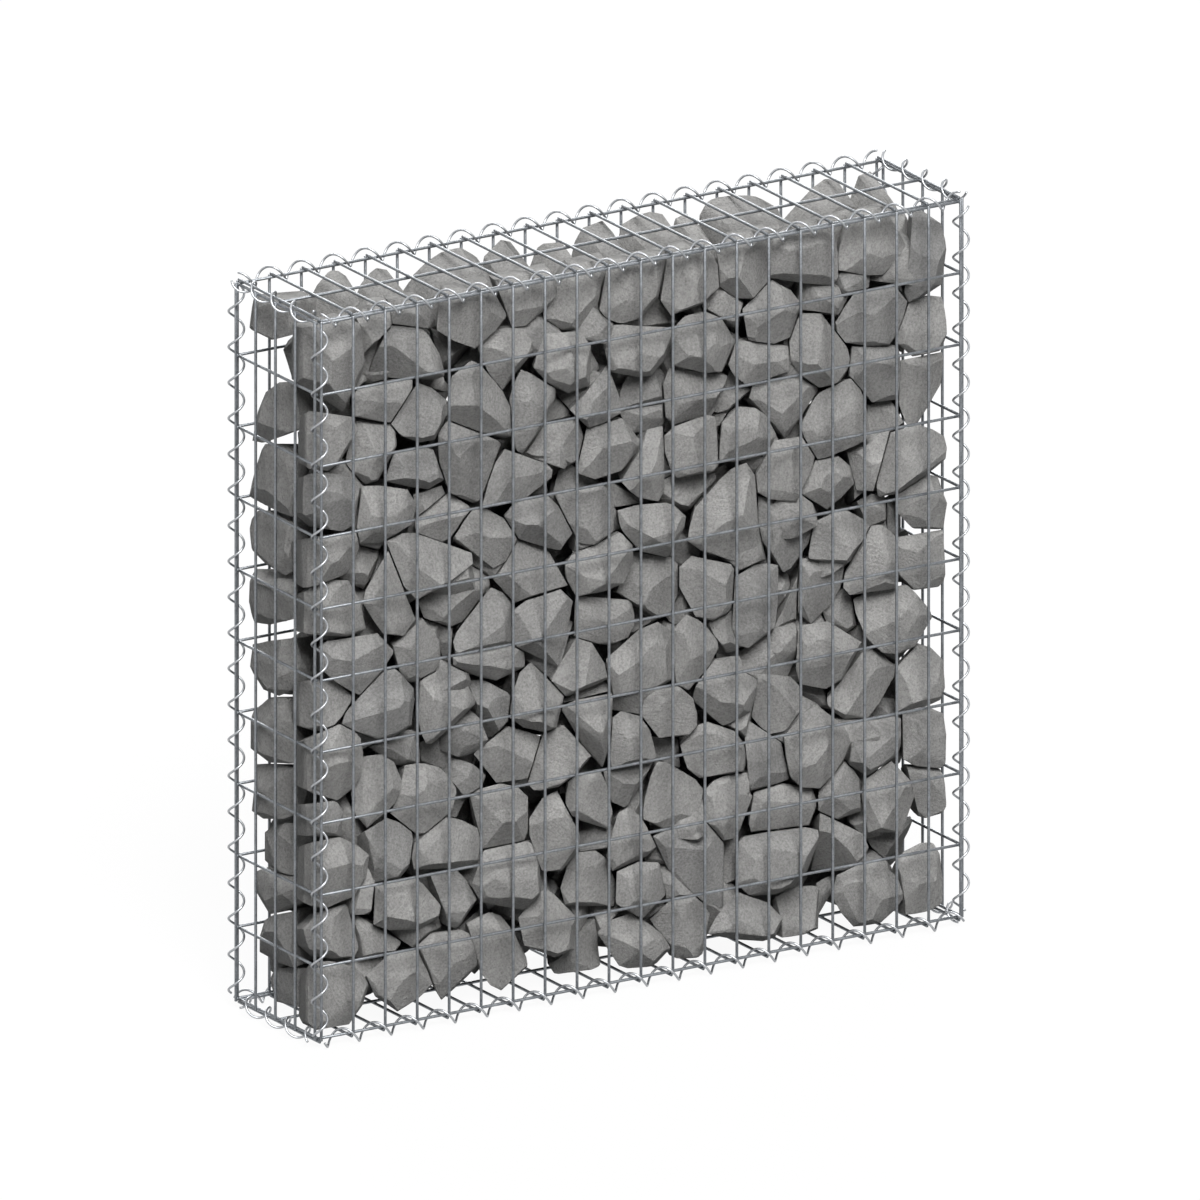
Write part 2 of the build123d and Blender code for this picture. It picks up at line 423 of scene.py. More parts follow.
# Each stone of the front layer: how far its widest outline lies behind the front of the basket, then
# that outline's corners as (x, z) places on the front of the basket as the camera sees them.
FRONT_STONES = [
    # top and second courses
    (20, -515, 488, -450, 494, -434, 483, -429, 447, -427, 428, -446, 397, -459, 369, -470, 380, -515, 412),
    (25, -436, 487, -421, 503, -391, 503, -386, 469, -400, 458, -428, 448, -434, 467),
    (42, -396, 500, -346, 505, -321, 475, -328, 452, -357, 458, -386, 471),
    (14, -386, 469, -343, 458, -328, 451, -313, 425, -306, 401, -306, 393, -324, 378, -345, 386, -357, 400,
     -420, 408, -400, 447),
    (14, -443, 389, -430, 400, -356, 400, -355, 356, -371, 341, -393, 344, -443, 360),
    (48, -321, 458, -299, 447, -261, 428, -257, 422, -261, 413, -293, 411, -304, 401, -313, 425),
    (10, -309, 497, -301, 506, -232, 506, -218, 475, -207, 460, -224, 443, -249, 428, -256, 424, -288, 440,
     -314, 458),
    (24, -250, 426, -218, 446, -182, 442, -171, 437, -162, 427, -164, 404, -214, 357, -229, 380, -243, 408),
    (16, -232, 503, -207, 507, -140, 506, -131, 489, -127, 475, -140, 464, -177, 442, -199, 444, -215, 458),
    (20, -140, 464, -127, 476, -105, 506, -50, 506, -48, 456, -71, 438, -89, 424, -118, 427, -146, 448),
    (10, -52, 470, -46, 506, 38, 506, 40, 490, 30, 447, 10, 428, 0, 421, -27, 419, -46, 429, -60, 442),
    (45, -68, 433, -50, 418, -52, 405, -57, 378, -72, 379, -76, 397, -96, 421),
    (8, -143, 425, -99, 419, -85, 408, -75, 396, -76, 342, -110, 337, -143, 357, -164, 381, -152, 408),
    (12, -261, 406, -246, 396, -214, 357, -202, 333, -200, 281, -227, 300, -246, 306, -293, 328, -296, 367,
     -291, 389),
    (15, -182, 378, -149, 361, -132, 349, -131, 333, -152, 294, -184, 262, -193, 281, -200, 333, -193, 361),
    (12, -345, 389, -324, 378, -300, 357, -300, 339, -320, 307, -343, 308, -368, 319, -385, 339, -352, 375),
    (15, -512, 378, -449, 360, -439, 342, -446, 331, -468, 301, -485, 293, -512, 300),
    (24, -445, 360, -393, 346, -383, 336, -378, 300, -391, 281, -401, 267, -427, 264, -457, 297, -446, 328),
    (20, -379, 296, -341, 300, -318, 289, -304, 250, -330, 240, -357, 248, -393, 262),
    (15, -312, 310, -293, 328, -262, 318, -228, 297, -215, 280, -229, 244, -249, 212, -257, 208, -293, 228,
     -306, 252),
    (12, -74, 378, -50, 364, -41, 344, -28, 308, -28, 295, -74, 279, -102, 306, -121, 332, -88, 338),
    (42, -129, 331, -113, 318, -102, 301, -140, 300, -143, 322),
    (12, -55, 398, -33, 422, 0, 414, 48, 400, 51, 389, 38, 356, 20, 339, 2, 340, -42, 354),
    (45, 29, 446, 52, 428, 60, 402, 2, 410, -2, 418, 10, 430),
    (38, -15, 341, 23, 339, 40, 319, 38, 300, -25, 301, -24, 320),
    (20, -145, 298, -97, 299, -88, 269, -86, 250, -102, 238, -118, 234, -145, 246, -175, 262, -160, 280),
    (15, -512, 290, -485, 288, -450, 275, -434, 262, -440, 228, -449, 208, -463, 204, -482, 211, -512, 235),
    (12, -80, 283, -60, 283, -29, 288, 0, 252, 0, 240, -27, 214, -67, 209, -96, 223, -85, 252),
    (40, -25, 297, 33, 297, 34, 264, 0, 263, -12, 266),
    (12, -434, 260, -410, 257, -385, 250, -362, 243, -353, 228, -350, 215, -357, 190, -395, 176, -435, 182,
     -440, 205),
    (12, 40, 497, 48, 506, 102, 506, 123, 474, 125, 444, 101, 426, 51, 418, 32, 447),
    (20, 123, 475, 140, 506, 201, 506, 200, 436, 187, 418, 154, 425, 126, 447),
    (12, 207, 485, 229, 506, 282, 506, 296, 483, 311, 472, 312, 428, 302, 414, 254, 431, 209, 439),
    (60, 285, 503, 328, 506, 322, 478, 309, 472, 296, 482),
    (12, 329, 495, 345, 506, 384, 506, 398, 475, 404, 464, 421, 443, 401, 431, 384, 418, 357, 422, 315, 435,
     314, 450, 322, 472),
    (24, 407, 475, 443, 478, 484, 460, 487, 440, 474, 390, 440, 376, 420, 373, 400, 425),
    (30, 318, 433, 345, 414, 339, 403, 333, 389, 309, 374, 301, 378, 254, 392, 248, 408, 252, 425, 300, 413),
    (12, 340, 398, 398, 399, 419, 372, 412, 350, 404, 333, 391, 318, 362, 322, 325, 333, 308, 356, 332, 389),
    (15, 257, 383, 287, 378, 304, 361, 321, 339, 330, 308, 325, 294, 312, 278, 282, 278, 261, 294, 237, 322,
     236, 333, 248, 375),
    (15, 164, 406, 198, 428, 209, 438, 237, 419, 251, 401, 250, 389, 237, 356, 207, 350, 193, 349, 172, 364),
    (60, 105, 438, 127, 440, 155, 420, 160, 395, 150, 380, 120, 400, 108, 415),
    (12, 61, 400, 73, 411, 104, 412, 132, 397, 146, 369, 150, 364, 129, 326, 104, 328, 57, 347, 53, 389),
    (25, 50, 348, 104, 330, 129, 324, 137, 317, 134, 305, 110, 270, 57, 262, 44, 278, 40, 322),
    (15, 159, 367, 193, 349, 234, 347, 233, 308, 198, 303, 168, 301, 151, 317, 143, 333, 151, 350),
    (35, 139, 328, 157, 311, 176, 294, 165, 286, 139, 270, 111, 272, 132, 294),
    (25, 180, 296, 248, 297, 268, 286, 284, 269, 264, 250, 251, 228, 229, 215, 208, 222, 190, 250, 172, 268),
    (12, 131, 253, 142, 264, 154, 271, 182, 264, 200, 250, 208, 232, 214, 222, 198, 198, 154, 196, 127, 202),
    (12, 282, 267, 321, 277, 332, 279, 346, 262, 354, 245, 360, 208, 362, 193, 335, 185, 293, 177, 279, 178,
     262, 205, 256, 225, 270, 244),
    (20, 334, 331, 370, 325, 404, 313, 410, 290, 410, 252, 400, 241, 365, 243, 328, 275),
    (20, 421, 369, 454, 374, 476, 368, 493, 347, 491, 330, 471, 294, 432, 294, 407, 317, 407, 344),
    (20, 410, 297, 478, 298, 492, 286, 484, 272, 472, 248, 452, 220, 430, 193, 421, 203, 407, 244),
    (35, 361, 236, 401, 238, 420, 205, 415, 195, 388, 184, 363, 181),
    # third and fourth courses
    (15, 5, 262, 38, 262, 40, 200, 39, 175, 30, 162, 0, 172, -15, 185, -33, 205, -20, 225, 0, 242),
    (12, 57, 260, 108, 266, 118, 262, 125, 240, 128, 200, 116, 188, 60, 189, 50, 205, 42, 228, 42, 250),
    (30, 40, 186, 54, 190, 116, 182, 118, 175, 107, 164, 73, 135, 51, 153, 32, 160),
    (10, 147, 186, 168, 189, 182, 169, 190, 100, 190, 64, 176, 52, 143, 60, 98, 81, 78, 97, 91, 139),
    (15, 205, 205, 215, 213, 262, 211, 273, 200, 275, 172, 258, 140, 247, 122, 207, 134, 185, 147, 183, 168),
    (15, 279, 177, 309, 177, 330, 157, 336, 133, 316, 117, 295, 105, 258, 132, 265, 153),
    (45, 307, 180, 348, 181, 373, 133, 365, 122, 334, 103, 312, 108),
    (15, 396, 194, 437, 197, 459, 186, 484, 169, 479, 143, 448, 125, 407, 108, 377, 109, 372, 119, 387, 167),
    (20, 407, 110, 448, 125, 476, 117, 487, 83, 499, 67, 493, 58, 482, 43, 432, 53, 404, 83),
    (12, -31, 157, 0, 159, 43, 155, 54, 150, 72, 131, 70, 117, 45, 80, 5, 95, -25, 130),
    (25, -8, 95, 48, 78, 68, 58, 68, 44, 48, 3, 28, 0, -12, 20, -40, 42, -15, 60),
    (12, 84, 73, 143, 52, 148, 44, 146, 0, 141, -13, 116, -20, 90, -10, 66, 33, 65, 61),
    (12, 151, 31, 182, 43, 201, 42, 218, 36, 217, -8, 213, -46, 201, -53, 173, -67, 158, -62, 146, -33),
    (25, 188, 143, 205, 135, 255, 115, 280, 89, 278, 76, 251, 47, 239, 33, 219, 28, 201, 55, 190, 100),
    (15, 277, 89, 320, 99, 348, 81, 361, 69, 359, 56, 325, 22, 268, 40, 273, 72),
    (32, 335, 103, 368, 112, 384, 105, 386, 75, 376, 66, 352, 60, 350, 85),
    (14, 358, 68, 380, 66, 402, 47, 406, 5, 404, -36, 332, -22, 322, -11, 326, 22, 352, 48),
    (40, 382, 98, 404, 108, 405, 85, 430, 55, 407, 54, 398, 45, 383, 62),
    (15, 401, 45, 454, 41, 476, 43, 484, 20, 489, 0, 487, -20, 468, -33, 426, -31, 412, -15, 405, 5),
    (30, 251, 38, 268, 40, 325, 22, 322, 0, 300, -28, 270, -50, 245, -25),
    (30, 220, 28, 240, 32, 252, 28, 252, 0, 250, -50, 247, -90, 238, -98, 180, -98, 160, -65, 201, -53),
    (15, -512, 203, -453, 202, -437, 195, -437, 178, -452, 145, -478, 135, -512, 130),
    (35, -438, 175, -410, 164, -410, 155, -422, 128, -432, 117, -445, 128, -468, 139),
    (15, -512, 128, -477, 136, -454, 131, -436, 100, -428, 61, -457, 55, -512, 68),
    (12, -392, 161, -374, 158, -365, 120, -350, 95, -350, 62, -368, 42, -399, 50, -412, 68, -430, 97,
     -425, 115, -402, 145),
    (10, -393, 175, -359, 183, -346, 179, -307, 160, -261, 137, -260, 122, -293, 103, -346, 88, -366, 110),
    (30, -345, 247, -321, 249, -309, 240, -297, 208, -300, 201, -345, 203, -350, 225),
    (20, -346, 197, -330, 201, -295, 225, -267, 203, -262, 193, -290, 169, -308, 161, -346, 180),
    (15, -261, 196, -239, 197, -200, 165, -189, 161, -191, 144, -210, 117, -232, 111, -259, 128, -293, 157),
    (12, -228, 248, -205, 278, -185, 265, -152, 252, -135, 232, -138, 222, -180, 200, -243, 200),
    (35, -130, 202, -121, 231, -103, 238, -95, 222, -66, 208, -58, 200, -90, 190),
    (12, -210, 180, -192, 198, -143, 198, -102, 153, -102, 142, -124, 118, -149, 128, -188, 145),
    (12, -140, 198, -57, 198, -43, 180, -39, 167, -41, 131, -69, 117, -102, 125, -102, 150),
    (40, -50, 198, -24, 195, 0, 180, 10, 160, -31, 161, -43, 180),
    (25, -193, 144, -150, 128, -137, 110, -118, 98, -101, 70, -120, 66, -192, 58, -203, 72, -228, 100),
    (14, -113, 95, -95, 113, -60, 117, -32, 128, -11, 105, -10, 85, -24, 56, -55, 50, -95, 50, -107, 70),
    (30, -343, 86, -313, 94, -262, 118, -238, 98, -236, 88, -249, 61, -271, 47, -293, 42, -332, 58),
    (15, -232, 83, -213, 72, -201, 55, -200, 5, -205, 0, -285, 0, -289, 12, -279, 36, -250, 60),
    (18, -288, -3, -250, 0, -200, 0, -184, -4, -182, -35, -224, -46, -249, -37, -285, -16),
    (12, -193, 45, -175, 55, -122, 62, -104, 42, -113, 0, -127, -43, -168, -19, -191, -5),
    (20, -97, 47, -70, 42, -12, 28, -8, 10, -9, -6, -18, -21, -43, -26, -79, -19, -98, -5),
    (15, -341, 62, -321, 35, -313, 24, -311, 0, -320, -19, -343, -27, -363, -24, -380, 5, -389, 34, -365, 45),
    (40, -332, 53, -293, 42, -288, 36, -290, 0, -311, -10, -312, 24),
    (14, -500, 45, -485, 52, -410, 50, -384, 20, -400, 0, -432, -33, -450, -22, -474, -5, -492, 12),
    (25, -512, 0, -474, -4, -449, -27, -450, -47, -468, -70, -480, -77, -512, -62),
    # fifth to seventh courses
    (12, -430, -31, -404, -4, -380, -4, -353, -36, -352, -53, -357, -86, -382, -97, -407, -97, -449, -76,
     -463, -67, -445, -36),
    (12, -341, -28, -313, -19, -299, -24, -268, -47, -256, -69, -257, -75, -291, -99, -322, -117, -335, -115,
     -343, -83),
    (20, -282, -40, -246, -42, -207, -67, -199, -75, -203, -103, -229, -129, -249, -126, -271, -114,
     -288, -103, -256, -74),
    (12, -168, -32, -152, -51, -117, -86, -124, -111, -129, -128, -149, -130, -179, -119, -199, -103,
     -196, -69, -185, -44),
    (14, -99, -8, -74, -19, -52, -56, -46, -74, -68, -78, -106, -90, -116, -86, -143, -55, -127, -43),
    (12, -52, -48, 0, -15, 29, -10, 51, -27, 53, -60, 52, -92, 30, -99, -40, -99, -45, -75),
    (30, -118, -93, -98, -90, -60, -78, -48, -85, -42, -98, -90, -115, -115, -105),
    (14, -122, -103, -98, -98, -42, -98, -40, -112, -43, -155, -57, -198, -85, -165, -105, -125),
    (12, -148, -133, -120, -126, -74, -178, -98, -199, -125, -212, -160, -212, -172, -200, -152, -180),
    (20, -257, -143, -208, -114, -190, -122, -165, -136, -150, -140, -150, -182, -172, -192, -218, -193,
     -240, -160),
    (45, -342, -117, -299, -110, -254, -128, -256, -142, -274, -175, -305, -158, -335, -142),
    (14, -430, -119, -402, -122, -382, -136, -370, -164, -368, -181, -391, -198, -424, -218, -443, -195,
     -449, -167, -432, -139),
    (35, -416, -108, -357, -97, -346, -103, -346, -139, -380, -137, -396, -122),
    (12, -375, -142, -345, -142, -312, -153, -304, -161, -302, -175, -283, -190, -290, -212, -308, -232,
     -327, -243, -349, -238, -380, -212, -391, -203, -368, -182),
    (40, -290, -172, -268, -178, -252, -197, -268, -225, -292, -226, -285, -200),
    (15, -512, -80, -463, -68, -449, -78, -436, -92, -429, -128, -437, -153, -471, -172, -512, -152),
    (15, -512, -172, -474, -174, -463, -189, -466, -225, -497, -219, -512, -215),
    (15, -262, -203, -245, -196, -215, -194, -190, -203, -174, -220, -174, -262, -180, -278, -243, -279,
     -250, -252),
    (18, -174, -258, -150, -227, -118, -216, -108, -232, -92, -262, -90, -275, -94, -305, -120, -328,
     -150, -325, -160, -300),
    (15, -112, -212, -98, -203, -62, -200, -50, -225, -42, -262, -48, -284, -88, -266, -112, -250),
    (15, -42, -133, -26, -125, 0, -136, 15, -150, 27, -195, 20, -203, -40, -200, -44, -160),
    (25, -52, -204, 25, -206, 10, -225, -17, -260, -38, -248),
    (12, 76, -8, 93, -18, 105, -28, 123, -52, 124, -62, 108, -85, 79, -111, 60, -100, 56, -50, 54, -25),
    (45, 116, -22, 140, -17, 151, -47, 172, -92, 154, -100, 120, -72),
    (12, 108, -88, 120, -77, 145, -88, 165, -103, 189, -119, 175, -158, 133, -172, 118, -150, 85, -128,
     92, -108),
    (12, 12, -111, 25, -104, 62, -105, 84, -125, 90, -147, 90, -164, 79, -174, 29, -170, 5, -135),
    (15, 258, -53, 296, -54, 348, -92, 340, -104, 321, -136, 293, -146, 254, -133, 248, -111, 251, -61),
    (35, 288, -38, 300, -28, 322, -15, 333, -28, 340, -64, 323, -72, 296, -54),
    (10, 336, -25, 404, -36, 420, -22, 454, -64, 458, -75, 432, -111, 404, -117, 382, -111, 357, -86,
     340, -47),
    (15, 180, -108, 201, -113, 237, -122, 251, -136, 252, -172, 229, -194, 204, -197, 190, -178, 176, -164,
     189, -122),
    (45, 251, -136, 290, -147, 301, -178, 293, -178, 278, -167, 258, -160),
    (20, 346, -105, 360, -101, 379, -114, 401, -133, 401, -144, 376, -180, 359, -197, 320, -192, 298, -172,
     296, -156, 321, -139),
    (15, 434, -108, 457, -119, 480, -144, 482, -169, 471, -192, 448, -197, 404, -197, 404, -135, 421, -119),
    (12, 277, -167, 300, -190, 322, -205, 331, -228, 320, -250, 302, -270, 284, -283, 255, -277, 240, -262,
     233, -235, 230, -205, 260, -178),
    (14, 68, -188, 95, -165, 110, -163, 151, -183, 170, -214, 163, -240, 98, -238, 79, -222),
    (40, 29, -170, 68, -180, 70, -214, 51, -215, 30, -200),
    (20, 30, -208, 43, -208, 60, -220, 88, -240, 100, -255, 97, -280, 84, -298, 60, -302, 40, -298, 10, -280,
     15, -255),
    (15, 155, -185, 178, -168, 205, -203, 225, -205, 232, -235, 238, -262, 200, -265, 180, -272, 168, -262,
     160, -245),
    (14, 328, -206, 398, -205, 412, -212, 414, -235, 403, -258, 385, -270, 359, -280, 322, -252),
    (15, 413, -205, 457, -204, 476, -214, 487, -233, 495, -252, 493, -275, 471, -288, 432, -278, 412, -264),
    # bottom courses
    (12, -512, -225, -466, -226, -440, -242, -422, -258, -427, -288, -446, -310, -489, -319, -512, -312),
    (15, -440, -222, -402, -208, -368, -224, -357, -233, -352, -256, -357, -281, -374, -296, -410, -296,
     -425, -284),
    (12, -346, -252, -327, -243, -299, -226, -275, -236, -254, -249, -249, -262, -252, -296, -277, -299,
     -349, -289, -352, -272),
    (12, -410, -303, -349, -303, -335, -317, -311, -347, -314, -362, -343, -374, -388, -367, -413, -356),
    (18, -340, -304, -285, -303, -268, -322, -253, -347, -283, -383, -318, -369),
    (12, -250, -283, -235, -280, -180, -279, -168, -286, -157, -314, -153, -358, -179, -376, -218, -361,
     -246, -353, -266, -322),
    (28, -108, -322, -95, -312, -68, -314, -46, -330, -39, -361, -40, -393, -113, -379, -120, -355),
    (15, -40, -292, -32, -268, -16, -260, 0, -274, 15, -298, 32, -318, 12, -333, -40, -344, -48, -325),
    (12, -33, -348, 0, -340, 32, -347, 40, -385, 40, -393, 9, -417, 0, -418, -35, -394),
    (15, -488, -325, -456, -321, -448, -353, -438, -383, -446, -394, -477, -392, -505, -375, -512, -345),
    (42, -446, -312, -405, -303, -415, -325, -422, -336, -443, -339),
    (25, -443, -342, -424, -336, -404, -358, -366, -379, -382, -397, -440, -397, -447, -361),
    (10, -512, -395, -485, -396, -460, -402, -440, -415, -422, -435, -432, -465, -457, -492, -512, -488),
    (12, -393, -405, -372, -400, -345, -402, -335, -430, -322, -455, -345, -470, -377, -483, -413, -455,
     -426, -425),
    (20, -345, -397, -320, -383, -283, -385, -262, -398, -252, -443, -297, -470, -308, -478, -338, -430),
    (25, -272, -380, -235, -372, -214, -377, -202, -400, -190, -412, -174, -440, -176, -455, -215, -480,
     -232, -470, -250, -445),
    (12, -187, -386, -160, -360, -148, -350, -130, -365, -100, -398, -98, -420, -100, -443, -132, -449,
     -178, -425),
    (45, -150, -440, -100, -405, -72, -405, -64, -470, -75, -480, -102, -479, -130, -470),
    (15, -63, -428, -45, -415, -10, -410, 15, -428, 43, -453, 50, -467, 15, -494, 0, -492, -30, -478),
    (12, 104, -262, 118, -246, 145, -243, 165, -265, 178, -277, 172, -290, 160, -318, 148, -330, 132, -331,
     108, -302),
    (20, 178, -275, 229, -270, 268, -281, 274, -297, 277, -312, 265, -337, 180, -332, 173, -305),
    (12, 25, -308, 60, -303, 106, -303, 132, -335, 133, -422, 117, -428, 100, -412, 85, -396, 54, -370),
    (45, 133, -338, 158, -335, 160, -375, 150, -385, 133, -388),
    (12, 159, -340, 168, -333, 260, -337, 286, -346, 262, -398, 245, -412, 215, -420, 175, -415, 155, -395),
    (18, 272, -330, 285, -320, 302, -330, 330, -348, 351, -361, 358, -380, 350, -393, 334, -406, 292, -409,
     263, -400, 286, -346),
    (20, 282, -285, 302, -270, 320, -252, 335, -268, 350, -292, 352, -325, 305, -332, 280, -318),
    (12, 355, -285, 395, -267, 412, -285, 425, -300, 430, -322, 412, -367, 360, -358, 350, -305),
    (45, 357, -362, 412, -368, 428, -350, 416, -397, 388, -398, 368, -380),
    (25, 410, -272, 452, -285, 479, -290, 482, -305, 487, -340, 476, -350, 448, -353, 430, -348, 418, -292),
    (15, 392, -418, 416, -397, 448, -388, 460, -392, 470, -410, 474, -445, 474, -478, 440, -487, 407, -492),
    (14, 309, -411, 343, -402, 376, -403, 398, -425, 413, -445, 412, -461, 398, -475, 376, -489, 337, -486,
     318, -464, 304, -439),
    (25, 210, -428, 248, -418, 280, -422, 279, -479, 257, -485, 215, -483),
    (15, 130, -425, 152, -405, 165, -410, 195, -425, 224, -455, 212, -480, 193, -482, 150, -472, 110, -458),
    (15, 15, -417, 50, -402, 95, -405, 113, -438, 101, -472, 97, -490, 50, -482, 50, -462, 25, -432),
    (50, 282, -422, 300, -415, 303, -430, 283, -457),
]

# Each stone of the back layer at the left end: how far its widest outline lies inside the end, then
# that outline's corners as (y, z) places on the end of the basket as the camera sees them.
END_STONES = [
    (12, 5, 500, 65, 495, 80, 443, 20, 443, 2, 450),
    (12, -13, 393, 1, 390, 35, 367, 56, 333, 71, 288, 41, 293, 1, 312, -25, 327),
    (12, -5, 293, 41, 293, 61, 253, 80, 208, 1, 207, -35, 210, -45, 227, -25, 253),
    (12, -19, 193, 56, 195, 71, 180, 83, 152, 75, 137, 35, 125, -15, 123, -37, 153),
    (12, -42, 120, 61, 113, 78, 90, 81, 60, 66, 35, 25, 43, -25, 63, -42, 87),
    (14, -5, 30, 30, 20, 68, 5, 78, -30, 41, -52, 1, -50, -15, -37, -25, -10),
    (12, -19, -55, 25, -57, 65, -87, 75, -103, 75, -143, 25, -150, -35, -135, -37, -83),
    (12, -35, -143, 8, -152, 61, -160, 71, -230, 41, -233, -9, -220, -15, -193),
    (20, -12, -223, 21, -238, 38, -250, 38, -290, 1, -298, -52, -290, -55, -253),
    (14, -45, -303, 25, -292, 58, -310, 65, -337, 25, -363, 1, -350, -35, -330),
    (16, -35, -340, 18, -360, 38, -373, 51, -400, 51, -422, 1, -424, -42, -420),
    (22, -49, -422, 8, -433, 28, -450, 10, -480, -49, -472),
]

# Tops of the back layer against the sky: corners as (x, z) places about 80 mm behind the middle
BACK_TOPS = [
    (-425, 440, -401, 478, -366, 506, -345, 490, -340, 445),
    (-338, 445, -323, 474, -301, 495, -281, 488, -262, 445),
    (-258, 440, -242, 473, -220, 488, -197, 498, -168, 502, -140, 481, -145, 440),
    (-138, 440, -130, 480, -102, 500, -88, 494, -70, 470, -75, 435),
    (-66, 435, -50, 477, -37, 483, -8, 480, -2, 440),
    (2, 440, 12, 477, 24, 494, 56, 499, 72, 480, 66, 430),
    (72, 440, 85, 488, 110, 497, 124, 501, 150, 492, 162, 470, 150, 435),
    (158, 440, 170, 482, 187, 487, 205, 470, 200, 430),
    (205, 440, 207, 480, 218, 496, 235, 503, 294, 494, 330, 470, 320, 430),
    (330, 440, 354, 474, 380, 485, 400, 501, 425, 490, 430, 430),
    (432, 440, 449, 479, 456, 493, 475, 497, 490, 470, 492, 430),
]

# How a place on the front, or on the left end, slides as it is set deeper along the camera's view
FRONT_SLIDE = np.array((0.618, -0.3826))
END_SLIDE = np.array((1.618, -0.6192))
FRONT = np.array((0.0, -1.0, 0.0))
LEFT_END = np.array((-1.0, 0.0, 0.0))

# Room for the stones inside the basket, less what the lacing spirals take along its edges
WALL_CLEAR = 0.5
FLOOR_CLEAR = 0.6
FACE_CLEAR = 0.6
WALL_X = LENGTH / 2 - WALL_CLEAR
WALL_Y = DEPTH / 2 - WALL_CLEAR
FLOOR_Z = -(HEIGHT / 2 - FLOOR_CLEAR)
ROOF_Z = -FLOOR_Z
EDGE_CUT = 12.0
STONE_GAP = 0.5
LIFTS = 10

# Least depth that a cut takes off, how near two corners count as one, and the fewest corners or
# faces that a stone has
LEAST_CUT = 1e-4
SAME_PLACE = 1e-5
FEWEST = 4

SEED = 11
rng = random.Random(SEED)


def directions(count):
    """Evenly spread unit vectors."""
    i = np.arange(count) + 0.5
    z = 1 - 2 * i / count
    r = np.sqrt(1 - z * z)
    turn = i * math.pi * (1 + 5**0.5)
    return np.stack((r * np.cos(turn), r * np.sin(turn), z), 1)


DIRECTIONS = directions(220)
NUDGES = directions(48)


def unit(vector):
    vector = np.asarray(vector, float)
    return vector / np.linalg.norm(vector)


def random_turn():
    return Quaternion([rng.gauss(0, 1) for _ in range(4)]).normalized().to_matrix()


def extent(points):
    return points.min(0), points.max(0)


def hull_mesh(points):
    bm = bmesh.new()
    for p in points:
        bm.verts.new(p)
    out = bmesh.ops.convex_hull(bm, input=bm.verts, use_existing_faces=False)
    loose = {e for e in out["geom_interior"] + out["geom_unused"] if isinstance(e, bmesh.types.BMVert)}
    bmesh.ops.delete(bm, geom=list(loose), context="VERTS")
    return bm


def cut(points, origin, normal):
    """Corners of the convex stone that is left behind a plane."""
    away = (points - origin) @ np.asarray(normal, float)
    if away.max() <= LEAST_CUT or away.min() >= -LEAST_CUT:
        return points
    bm = hull_mesh(points)
    bmesh.ops.bisect_plane(
        bm,
        geom=bm.verts[:] + bm.edges[:] + bm.faces[:],
        plane_co=origin,
        plane_no=normal,
        clear_outer=True,
        dist=SAME_PLACE,
    )
    left = np.array([v.co for v in bm.verts], float)
    bm.free()
    return left if len(left) >= FEWEST else points


def inside_basket(points):
    """A stone cut back to the mesh and, along the basket's edges, to the lacing spirals."""
    limits = np.array((WALL_X, WALL_Y, ROOF_Z))
    for axis in range(3):
        for sign in (-1, 1):
            normal = np.zeros(3)
            normal[axis] = sign
            points = cut(points, normal * limits[axis], normal)
    for a, b in ((0, 1), (0, 2), (1, 2)):
        for sa in (-1, 1):
            for sb in (-1, 1):
                normal = np.zeros(3)
                normal[a], normal[b] = sa, sb
                corner = normal * limits
                points = cut(points, corner - normal * EDGE_CUT / 2, normal / math.sqrt(2))
    return points


def ring(outline, middle, scale, jitter):
    """An outline drawn in towards its middle, a little unevenly."""
    out = middle + (outline - middle) * scale
    return out + np.array([(rng.uniform(-jitter, jitter), rng.uniform(-jitter, jitter)) for _ in outline])


# Facets of a stone. A slope is in degrees: at 0 the facet runs straight back from the outline, and
# at 90 it lies flat across the stone's face. A lean is the tangent of a turn away from the front.
SHORTEST_SIDE = 6
FLAT_SHARE = 0.22
FLAT_SLOPES = (60, 76)
SLOPES = (26, 56)
STEEPER_BELOW = 8
SIGHT_MARGIN = 7
FACE_COUNTS = (1, 2, 2, 3)
FACE_LEAN = 0.38
FACE_LEAN_DOWN = 0.32
FACE_LEAN_UP = 0.48
LATER_LEAN = 1.9
RIM_MARGIN = 1
FACE_SHARES = (0.3, 0.6)
LATER_SHARE = 0.5


